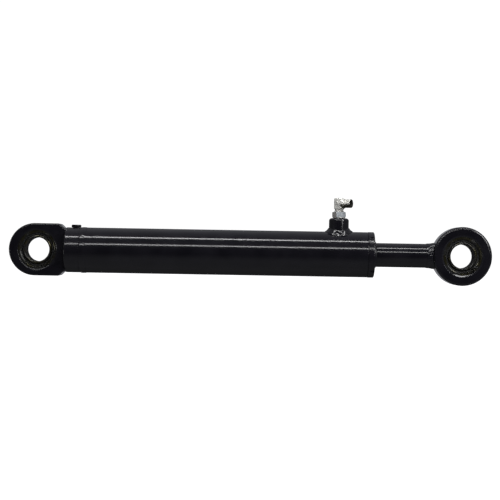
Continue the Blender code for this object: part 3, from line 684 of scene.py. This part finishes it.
def cap_bead():
    """Circumferential weld between the neck and the tube."""
    crown = rounded([
        (0.0561, 0.02995), (0.0575, 0.0304, 0.002), (0.0602, 0.0306, 0.003),
        (0.0630, 0.0305, 0.002), (0.0648, 0.0302), (0.0602, 0.0265),
    ])
    section = resampled(crown, 0.0004, 0.0560, 0.0649)
    bead = revolved("cap_bead", section, "X", ORIGIN, 520,
                    warp=ripple_warp(0.0561, 0.0648, 76, 0.00006, 3.1))
    finish(bead, "barrel", ["cap_weld"], PAINT_WELD, 60)


def port_plug():
    """Screw plug with a round head and a hexagon socket."""
    head = PLUG_FACE + GAP
    plug = revolved("port_plug", rounded([
        (0.0190, 0), (0.0190, 0.0045), (0.0198, 0.0055), (0.0267, 0.0055), (0.0271, 0.0048),
        (head, 0.0048), (head, 0.0064, 0.0003), (PLUG_TOP, 0.0064, 0.0008), (PLUG_TOP, 0),
    ], closed=False), "Z", (PLUG_X, 0, 0), 96)
    socket = hexagon("socket", 0.00323, PLUG_TOP - 0.0048, PLUG_TOP + 0.001, (PLUG_X, 0, 0))
    combined(plug, "DIFFERENCE", socket)
    lead_in = [(PLUG_TOP - 0.0006, 0), (PLUG_TOP - 0.0006, 0.0027), (PLUG_TOP + 0.0004, 0.0038),
               (PLUG_TOP + 0.0004, 0)]
    combined(plug, "DIFFERENCE", revolved("lead_in", lead_in, "Z", (PLUG_X, 0, 0), 64))
    finish(plug, "barrel", ["cap_port_plug"], PAINT)


# ---- tube, gland and port --------------------------------------------------------------------
def barrel():
    """Tube, bevelled for its weld at the cap, opened out for the gland and drilled for the port."""
    mouth = 0.0262
    tube = revolved("tube", rounded([
        (TUBE_START, BORE_R), (TUBE_START, 0.0266), (TUBE_START + 0.0041, TUBE_R, 0.0006),
        (TUBE_END, TUBE_R, 0.0006), (TUBE_END, mouth), (TUBE_END - 0.02, mouth),
        (TUBE_END - 0.0208, BORE_R),
    ]), "X", ORIGIN, 256)
    hole = [(0.020, 0), (0.020, 0.005), (0.034, 0.005), (0.034, 0)]
    combined(tube, "DIFFERENCE", revolved("hole", hole, "Z", (PORT_X, 0, 0), 48))
    finish(tube, "barrel", ["barrel_tube"], PAINT)


def gland_head():
    """Gland with grooves for its rings and slots for a hook spanner, and the wiper in its mouth."""
    bore, at = ROD_R + GAP, COLLAR_START
    start, end = GLAND_NOSE - at, COLLAR_END - at
    nose, land, screwed, recess = 0.0205, 0.0251, 0.0259, 0.0195
    ring_root, seal_root, guide_root = 0.0227, 0.0206, 0.0180

    def groove(far, near, root):
        return [(far, bore), (far, root), (near, root), (near, bore)]

    section = rounded([
        (start, bore), (start, nose, 0.0006), (-0.0268, nose), (-0.0268, land),
        (-0.0256, land), (-0.0256, ring_root), (-0.0215, ring_root), (-0.0215, land),
        (-0.0198, land), (-0.0192, screwed), (0, screwed), (0, COLLAR_R, 0.0005),
        (end, COLLAR_R, 0.0014), (end, recess, 0.0003), (0.0030, recess), (0.0030, bore),
        *groove(-0.0035, -0.0110, seal_root), *groove(-0.0150, -0.0250, guide_root),
        *groove(-0.0350, -0.0450, guide_root),
    ])
    head = revolved("gland_head", section, "X", (at, 0, 0), 192)
    for k in range(SLOT_COUNT):
        turn = TAU * (k + 0.5) / SLOT_COUNT
        shape = bmesh.new()
        bmesh.ops.create_cube(shape, size=1)
        bmesh.ops.scale(shape, vec=(end + 0.001 - SLOT_INNER, SLOT_WIDTH, SLOT_HEIGHT),
                        verts=shape.verts)
        slot = bevelled(mesh_object("slot", shape), 0.0006, 3, 40)
        slot.data.transform(Matrix.Translation((at + (end + 0.001 + SLOT_INNER) / 2, 0, 0))
                            @ Matrix.Rotation(-turn, 4, "X")
                            @ Matrix.Translation((0, 0, COLLAR_R + 0.0005)))
        combined(head, "DIFFERENCE", slot)
    finish(head, "barrel", ["gland"], PAINT_GLAND)

    near = bore - 0.0001
    wiper = revolved("wiper", rounded([
        (0.0033, near + 0.0007), (0.0033, 0.0192, 0.0003), (0.0080, 0.0192, 0.0004),
        (0.0080, 0.0186, 0.0003), (0.0094, 0.0178, 0.0010), (0.0114, 0.0170, 0.0003),
        (0.0114, near, 0.0002), (0.0090, near), (0.0078, near + 0.0007, 0.0004),
    ]), "X", (at, 0, 0), 160)
    finish(wiper, "barrel", ["rod_wiper"], WIPER)


def saddle(radius, angle, over):
    """Height of the tube's surface, offset by over, at a radius and angle round the port's axis."""
    return math.sqrt((TUBE_R + over) ** 2 - (radius * math.sin(angle)) ** 2)


def port_boss():
    """Threaded boss, its foot cut to the round of the tube."""
    boss = revolved("boss", rounded([
        (0.020, 0.0050), (0.020, BOSS_R), (BOSS_TOP, BOSS_R, 0.0035), (BOSS_TOP, 0.0078),
        (BOSS_TOP - 0.0024, BOSS_THREAD_R), (0.0340, BOSS_THREAD_R), (0.0340, 0.0050),
    ], steps=9), "Z", (PORT_X, 0, 0), 144)
    foot = [(-0.03, 0), (-0.03, TUBE_R + GAP), (0.03, TUBE_R + GAP), (0.03, 0)]
    combined(boss, "DIFFERENCE", revolved("foot", foot, "X", (PORT_X, 0, 0), 256))
    finish(boss, "barrel", ["port_boss"], PAINT_ROUGH)


def boss_bead():
    """Fillet weld round the foot of the boss, laid in short overlapping ripples."""
    inner, outer, throat, hollow = BOSS_R + 0.0002, BOSS_WELD_R, 0.0047, 0.10
    around, across, below = 300, 18, 4
    rise = dimes(14, 0.00046, 3.3, 0.6)
    shape = bmesh.new()
    rings = []
    for i in range(around):
        share = i / around
        a = TAU * share
        uneven = noise.noise(Vector((math.cos(a) * 1.6, math.sin(a) * 1.6, 4.2)))
        leg = (outer - inner) * (0.94 + 0.06 * uneven)
        loop = []
        for k in range(across + 1):
            t = k / across
            radius = inner + leg * t
            height = throat * (1 + 0.08 * uneven) * (1 - t - hollow * math.sin(math.pi * t))
            lift = rise(share, 2 * t - 1)
            if k:
                radius = min(radius + 0.6 * lift, outer)
            loop.append((radius, saddle(radius, a, GAP) + max(height + 0.8 * lift, 0.00004)))
        for k in range(below + 1):
            radius = inner + leg * (1 - k / below)
            loop.append((radius, saddle(radius, a, GAP)))
        rings.append([shape.verts.new((r * math.cos(a), r * math.sin(a), z)) for r, z in loop])
    for ring, following in zip(rings, rings[1:] + rings[:1]):
        for j in range(len(ring)):
            k = (j + 1) % len(ring)
            shape.faces.new((ring[j], ring[k], following[k], following[j]))
    bead = mesh_object("boss_bead", shape)
    bead.data.transform(Matrix.Translation((PORT_X, 0, 0)))
    finish(bead, "barrel", ["port_boss_weld"], PAINT_WELD, 60)


# ---- elbow fitting ---------------------------------------------------------------------------
def elbow():
    """Forged body with a turned stud below and a coned, threaded tube end to the side."""
    foot, tip, axis = NUT_TOP + 0.0030, ELBOW_REACH, (0, 0, ELBOW_AXIS)
    width, leg_r, root_r, tube_r, mouth_r, bore_r = 0.0114, 0.0067, 0.0049, 0.0058, 0.0053, 0.0038
    shape = bmesh.new()
    bmesh.ops.create_cube(shape, size=1)
    height = ELBOW_TOP - foot
    bmesh.ops.scale(shape, vec=(width, width, height), verts=shape.verts)
    bmesh.ops.translate(shape, vec=(0, 0, foot + height / 2), verts=shape.verts)
    body = bevelled(mesh_object("elbow", shape), 0.0021, 5, 40)
    leg = [(-0.001, 0), (-0.001, leg_r), (0.0074, leg_r), (0.0086, 0.0056), (0.0086, 0)]
    combined(body, "UNION", revolved("leg", leg, "X", axis, 64))
    softened(body, 0.0003, 9)

    tube_end = resampled(rounded([
        (0.004, 0), (0.004, root_r), (0.0090, root_r, 0.0004), (0.0096, tube_r, 0.0002),
        (tip - 0.0004, tube_r), (tip, 0.0055, 0.0001), (tip, mouth_r, 0.0001),
        (tip - 0.0060, 0.0039), (tip - 0.0060, 0),
    ], closed=False), 0.00012, 0.0096, tip - 0.0003)
    ridges = thread(0.0015, 0.00065, 0.0094, tip)
    combined(body, "UNION", revolved("tube_end", tube_end, "X", axis, 96, ridges))
    throat = [(-0.001, 0), (-0.001, 0.0020), (0.0075, 0.0020), (0.0075, bore_r),
              (tip - 0.0058, bore_r), (tip - 0.0058, 0)]
    combined(body, "DIFFERENCE", revolved("throat", throat, "X", axis, 48))
    body.data.transform(Matrix.Translation((PORT_X, 0, 0)) @ Matrix.Rotation(ELBOW_TURN, 4, "Z"))

    relief, bore = STUD_RELIEF_R, 0.0035
    stud = resampled(rounded([
        (0.0358, bore), (0.0358, relief), (0.0366, STUD_R), (0.0448, STUD_R), (0.0455, relief),
        (0.0492, relief), (0.0496, STUD_R), (0.0578, STUD_R, 0.0002), (0.0583, relief, 0.0003),
        (foot + 0.0016, relief), (foot + 0.0016, bore),
    ]), 0.00014, 0.0496, 0.0579)
    ridges = thread(0.0013, 0.0005, 0.0495, 0.0580)
    combined(body, "UNION", revolved("stud", stud, "Z", (PORT_X, 0, 0), 96, ridges))

    finish(body, "barrel", ["elbow_body"], ZINC_FORGED, 40)
    for material in (DARK_BORE, ZINC_SHADED_UNDERSIDE, ZINC_SHADED):
        body.data.materials.append(material)
    inside, shaded_underside, shaded_stem = 1, 2, 3
    way = Vector((math.cos(ELBOW_TURN), math.sin(ELBOW_TURN), 0))
    for face in body.data.polygons:
        out = face.center - Vector((PORT_X, 0, ELBOW_AXIS))
        along = out.dot(way)
        # Painted shade: the tube end and the bore get the near-black finish.
        if along > tip - 0.0005 or (0.002 < along and (out - way * along).length < mouth_r):
            face.material_index = inside
        # Painted shade: downward faces of the leg get the near-black zinc.
        elif along > 0.0045 and face.normal.z < -0.2:
            face.material_index = shaded_underside
        # Painted shade: the stem just above the nut gets the darker zinc.
        elif face.center.z < foot + 0.0004:
            face.material_index = shaded_stem


def lock_nut():
    """Hexagon nut with turned-off corners and the washer below it; its -X facets and the washer
    carry painted shade.
    """
    at, trim = (PORT_X, 0, 0), 0.0006
    flat, corner = NUT_CORNER * math.cos(math.pi / 6) - trim, NUT_CORNER + 0.0001
    nut = bevelled(hexagon("nut", NUT_CORNER, NUT_BOTTOM, NUT_TOP, at, NUT_TURN), 0.0002, 2, 50)
    envelope = rounded([
        (NUT_BOTTOM - 0.0005, 0), (NUT_BOTTOM - 0.0005, flat),
        (NUT_BOTTOM + trim, corner, 0.0006), (NUT_TOP - trim, corner, 0.0006),
        (NUT_TOP + 0.0005, flat), (NUT_TOP + 0.0005, 0),
    ], closed=False)
    combined(nut, "INTERSECT", revolved("envelope", envelope, "Z", at, 144))
    bore, mouth = BOSS_THREAD_R, BOSS_THREAD_R + 0.0014
    hole = [(NUT_BOTTOM - 0.001, 0), (NUT_BOTTOM - 0.001, mouth), (NUT_BOTTOM + trim, bore),
            (NUT_TOP - trim, bore), (NUT_TOP + 0.001, mouth), (NUT_TOP + 0.001, 0)]
    combined(nut, "DIFFERENCE", revolved("hole", hole, "Z", at, 96))
    finish(nut, "barrel", ["elbow_lock_nut"], ZINC)
    # Painted shade: facets facing -X get the darker zinc.
    nut.data.materials.append(ZINC_SHADED)
    for face in nut.data.polygons:
        if face.normal.x < -0.3:
            face.material_index = 1

    inner, outer = 0.0069, 0.0085
    washer = revolved("washer", rounded([
        (BOSS_TOP + GAP, inner, 0.0001), (BOSS_TOP + GAP, outer, 0.0002),
        (NUT_BOTTOM - GAP / 2, outer, 0.0002), (NUT_BOTTOM - GAP / 2, inner, 0.0001),
    ]), "Z", at, 128)
    # The washer gets the darker zinc as painted shade under the nut.
    finish(washer, "barrel", ["elbow_washer"], ZINC_SHADED)


# ---- rod -------------------------------------------------------------------------------------
def cope():
    """Cutter for the ends of the rod and its weld, which follow the round of the eye."""
    half, radius = 0.03, ROD_EYE_R + GAP
    section = [(-half, 0), (-half, radius), (half, radius), (half, 0)]
    return revolved("cope", section, "Y", ROD_PIN, 256)


def rod():
    """Chromed rod, and the coat of paint on the length that is outside the gland when retracted."""
    spigot, shoulder, far_end = 0.0127, 0.1315, ROD_PIN[0] - 0.030
    bar = revolved("rod", rounded([
        (ROD_START, 0), (ROD_START, spigot, 0.0012), (shoulder, spigot, 0.0003),
        (shoulder, ROD_R, 0.0008), (far_end, ROD_R), (far_end, 0),
    ], closed=False), "X", ORIGIN, 192)
    combined(bar, "DIFFERENCE", cope())
    finish(bar, "rod", ["piston_rod"], CHROME)

    start, end = COLLAR_START + 0.0114, ROD_WELD_START + 0.0012
    inside, outside = ROD_R + 0.00001, ROD_R + 0.00011

    def ragged(angle, along, radius):
        if along > start + 0.001:
            return along, radius
        wander = noise.noise(Vector((math.cos(angle) * 3, math.sin(angle) * 3, 1.7)))
        return along + 0.0005 * wander, radius

    section = [(start, inside), (start + 0.0002, outside), (start + 0.0012, outside),
               (end, outside), (end, inside), (start + 0.0012, inside)]
    coat = revolved("rod_paint", section, "X", ORIGIN, 192, warp=ragged)
    finish(coat, "rod", [], PAINT)


def rod_end():
    """The rod's eye and the weld that joins it to the rod."""
    rim = [(EYE_HALF, ROD_EYE_R, 0.0038)]
    side = seat_side(ROD_MOUTH_R, ROD_MOUTH_CHAMFER)
    section = rounded([*side, *rim, *mirrored(rim), *mirrored(side)], steps=9)
    eye = revolved("rod_end", section, "Y", ROD_PIN, 256)
    combined(eye, "DIFFERENCE", nipple_seat(ROD_PIN, ROD_EYE_R, ROD_NIPPLE_TURN))
    finish(eye, "rod", ["rod_eye"], PAINT_FORGED)

    start, end = ROD_WELD_START, ROD_WELD_END + 0.0015
    crown = rounded([
        (start, ROD_R + GAP), (start, ROD_R + 0.0005), (start + 0.0045, 0.0166, 0.002),
        (start + 0.0080, 0.0172, 0.002), (end, ROD_WELD_R), (end, ROD_R + GAP),
    ])
    section = resampled(crown, 0.00045, start, end)
    bead = revolved("rod_end_bead", section, "X", ORIGIN, 360,
                    warp=ripple_warp(start, end + 0.006, 30, 0.00034, 5.3))
    combined(bead, "DIFFERENCE", cope())
    finish(bead, "rod", ["rod_eye_weld"], PAINT_WELD, 60)


# ---- pieces left as the CAD has them ---------------------------------------------------------
INSIDE = {
    NITRILE: ["cap_port_o_ring", "gland_o_ring", "elbow_o_ring", "piston_o_ring",
              "piston_seal_energiser"],
    URETHANE: ["rod_seal"],
    NYLON: ["rod_guide_ring_inner", "rod_guide_ring_outer", "piston_guide_ring_front",
            "piston_guide_ring_rear"],
    PTFE: ["piston_seal", "gland_backup_ring"],
    IRON: ["piston"],
    STEEL: ["piston_nut"],
}


def dress_cad_nodes():
    """Gives the hidden CAD solids their materials."""
    for material, nodes in INSIDE.items():
        for node in nodes:
            for holder in frame["nodes"][node].material_slots:
                holder.material = material


# ---- studio ----------------------------------------------------------------------------------
FLOOR_DEPTH, FLOOR_SIZE = 0.34, 30
CAMERA_DISTANCE = 1.8
CAMERA_HEIGHT = 0.0038
CAMERA_LENS = 97.16
CAMERA_ROLL = math.radians(0.98)
MID_X = ROD_PIN[0] / 2
WHITE = 1.05
ROOM_LEAST, ROOM_ABOVE, ROOM_FRONT, ROOM_BELOW = 0.04, 0.19, 0.09, 0.17
ROOM_LEFT, ROOM_RIGHT, ROOM_BEHIND = 0.08, 0.10, 0.35


def floor():
    """Pale floor, as white as the background behind it."""
    shape = bmesh.new()
    bmesh.ops.create_grid(shape, x_segments=1, y_segments=1, size=FLOOR_SIZE)
    ground = mesh_object("floor", shape)
    ground.location = (MID_X, 0, -FLOOR_DEPTH)
    cover = bpy.data.materials.new("pale_floor")
    cover.use_nodes = True
    shader = cover.node_tree.nodes["Principled BSDF"]
    shader.inputs["Base Color"].default_value = (0.82, 0.82, 0.82, 1)
    shader.inputs["Roughness"].default_value = 1.0
    shader.inputs["Specular IOR Level"].default_value = 0.0
    shader.inputs["Emission Color"].default_value = (1, 1, 1, 1)
    shader.inputs["Emission Strength"].default_value = WHITE
    ground.data.materials.append(cover)
    ground.visible_glossy = False
    ground.visible_diffuse = False


def soft_box(name, azimuth, elevation, distance, size, radiance, target):
    """A rectangular soft box aimed at a point. Azimuth 0 is the camera's side."""
    lamp = bpy.data.lights.new(name, "AREA")
    lamp.shape = "RECTANGLE"
    lamp.size, lamp.size_y = size
    lamp.energy = radiance * math.pi * size[0] * size[1]
    holder = bpy.data.objects.new(name, lamp)
    bpy.context.scene.collection.objects.link(holder)
    turn = (Matrix.Rotation(math.radians(azimuth), 4, "Z")
            @ Matrix.Rotation(math.radians(90 - elevation), 4, "X"))
    holder.matrix_world = Matrix.Translation(target) @ turn @ Matrix.Translation((0, 0, distance))
    holder.visible_camera = False


def world():
    """White behind the object. Reflections see a dim room with a few broad lighter parts."""
    sky = bpy.data.worlds.new("studio")
    sky.use_nodes = True
    tree = sky.node_tree

    def node(kind, inputs, **settings):
        return new_node(tree, kind, inputs, **settings)

    def fade(way, start, end, most):
        limits = {"Value": way, "From Min": start, "From Max": end, "To Max": most}
        made = node("ShaderNodeMapRange", limits, interpolation_type="SMOOTHSTEP")
        return made.outputs["Result"]

    def maths(operation, first, second):
        return node("ShaderNodeMath", {0: first, 1: second}, operation=operation).outputs[0]

    way = node("ShaderNodeTexCoord", {}).outputs["Generated"]
    x, y, z = node("ShaderNodeSeparateXYZ", {"Vector": way}).outputs
    total = ROOM_LEAST
    for part in (
        maths("MULTIPLY", fade(z, 0.15, 0.75, 1.0), fade(y, -0.5, 0.5, ROOM_ABOVE)),
        fade(z, 0.15, 0.75, ROOM_FRONT),
        maths("MULTIPLY", fade(z, -0.15, -0.75, ROOM_BELOW), fade(y, 1.0, -0.1, 1.0)),
        fade(x, -0.35, -0.95, ROOM_LEFT),
        fade(x, 0.45, 0.95, ROOM_RIGHT),
        fade(y, 0.94, 0.98, ROOM_BEHIND),
    ):
        total = maths("ADD", part, total)

    room = node("ShaderNodeBackground", {"Color": (0.93, 0.94, 1.0, 1), "Strength": total})
    white = node("ShaderNodeBackground", {"Color": (1, 1, 1, 1), "Strength": WHITE})
    seen = node("ShaderNodeLightPath", {}).outputs["Is Camera Ray"]
    mix = node("ShaderNodeMixShader", {0: seen, 1: room.outputs[0], 2: white.outputs[0]})
    tree.links.new(mix.outputs[0], tree.nodes["World Output"].inputs["Surface"])
    bpy.context.scene.world = sky
    bpy.context.scene.view_settings.view_transform = "Standard"


def camera():
    """Long lens, square to the cylinder's side."""
    lens = bpy.data.cameras.new("camera")
    lens.lens = CAMERA_LENS
    lens.clip_end = 50
    holder = bpy.data.objects.new("camera", lens)
    bpy.context.scene.collection.objects.link(holder)
    holder.matrix_world = (Matrix.Translation((MID_X, -CAMERA_DISTANCE, CAMERA_HEIGHT))
                           @ Matrix.Rotation(math.pi / 2, 4, "X")
                           @ Matrix.Rotation(CAMERA_ROLL, 4, "Z"))
    bpy.context.scene.camera = holder


camera()
floor()
world()
soft_box("upper_strip", azimuth=0, elevation=70.4, distance=1.6, size=(2.4, 0.09),
         radiance=19.0, target=(MID_X, 0, 0))
soft_box("lower_strip", azimuth=0, elevation=31.4, distance=1.6, size=(2.4, 0.09),
         radiance=12.5, target=(MID_X, 0, 0))
soft_box("end_box", azimuth=44, elevation=29, distance=1.8, size=(0.28, 1.0),
         radiance=19.0, target=ROD_PIN)
soft_box("left_box", azimuth=-62, elevation=-10, distance=1.8, size=(0.12, 0.45),
         radiance=14.0, target=CAP_PIN)
soft_box("side_box", azimuth=38, elevation=7, distance=1.8, size=(0.05, 0.30),
         radiance=20.0, target=(PORT_X, 0, 0.04))

cap_forging()
cap_bead()
port_plug()
barrel()
gland_head()
port_boss()
boss_bead()
elbow()
lock_nut()
rod()
rod_end()
bearing("cap", CAP_PIN, "barrel", "cap_ball")
bearing("rod", ROD_PIN, "rod", "rod_ball")
nipple("cap_nipple", CAP_PIN, CAP_REACH, CAP_NIPPLE_TURN, "barrel", "cap_grease_nipple")
nipple("rod_nipple", ROD_PIN, ROD_EYE_R, ROD_NIPPLE_TURN, "rod", "rod_grease_nipple")
dress_cad_nodes()
